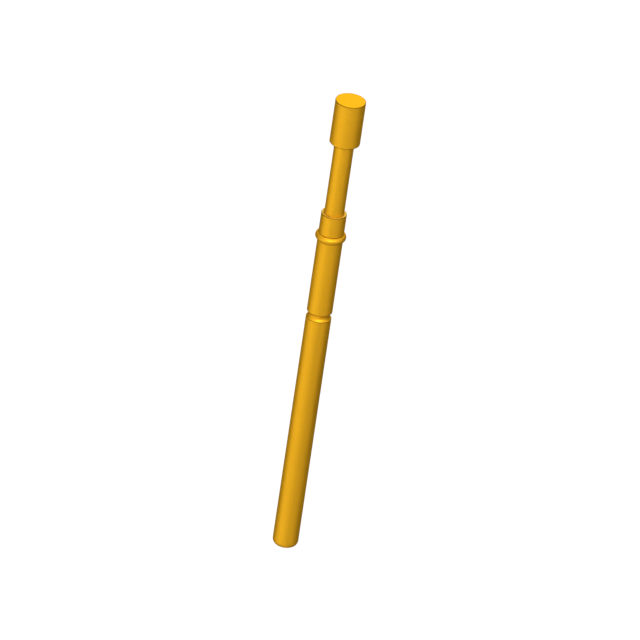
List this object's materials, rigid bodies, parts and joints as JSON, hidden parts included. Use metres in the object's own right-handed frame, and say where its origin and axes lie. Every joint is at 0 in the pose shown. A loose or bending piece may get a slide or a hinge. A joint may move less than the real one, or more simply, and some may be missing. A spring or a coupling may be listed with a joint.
{
  "type": "pogo pin",
  "caption": "Spring-loaded contact probe: a flat-faced plunger slides in a slim crimped barrel with a collar bead and a closed, rounded end.",
  "frame": {"origin": "on the axis, where the underside of the collar bead meets the tube: the plane of the board or plate that the pin is pushed into", "axes": "+Z along the axis, out of the board towards the contact face; X and Y are any two directions across the round pin"},
  "size_m": [0.002, 0.002, 0.033],
  "materials": {
    "barrel_plating": "satin gold plating",
    "plunger_plating": "satin gold plating",
    "spring_wire": "drawn spring wire"
  },
  "bodies": {
    "barrel": {"barrel": "barrel_plating", "spring": "spring_wire"},
    "plunger": {"plunger": "plunger_plating"}
  },
  "joints": [
    {"name": "plunger_slide", "type": "slide", "parent": "barrel", "child": "plunger", "axis": [0, 0, -1], "range_m": [0, 0.005], "stiffness_N_per_m": 307, "springref_m": -0.0026, "deforming": ["spring"]}
  ]
}
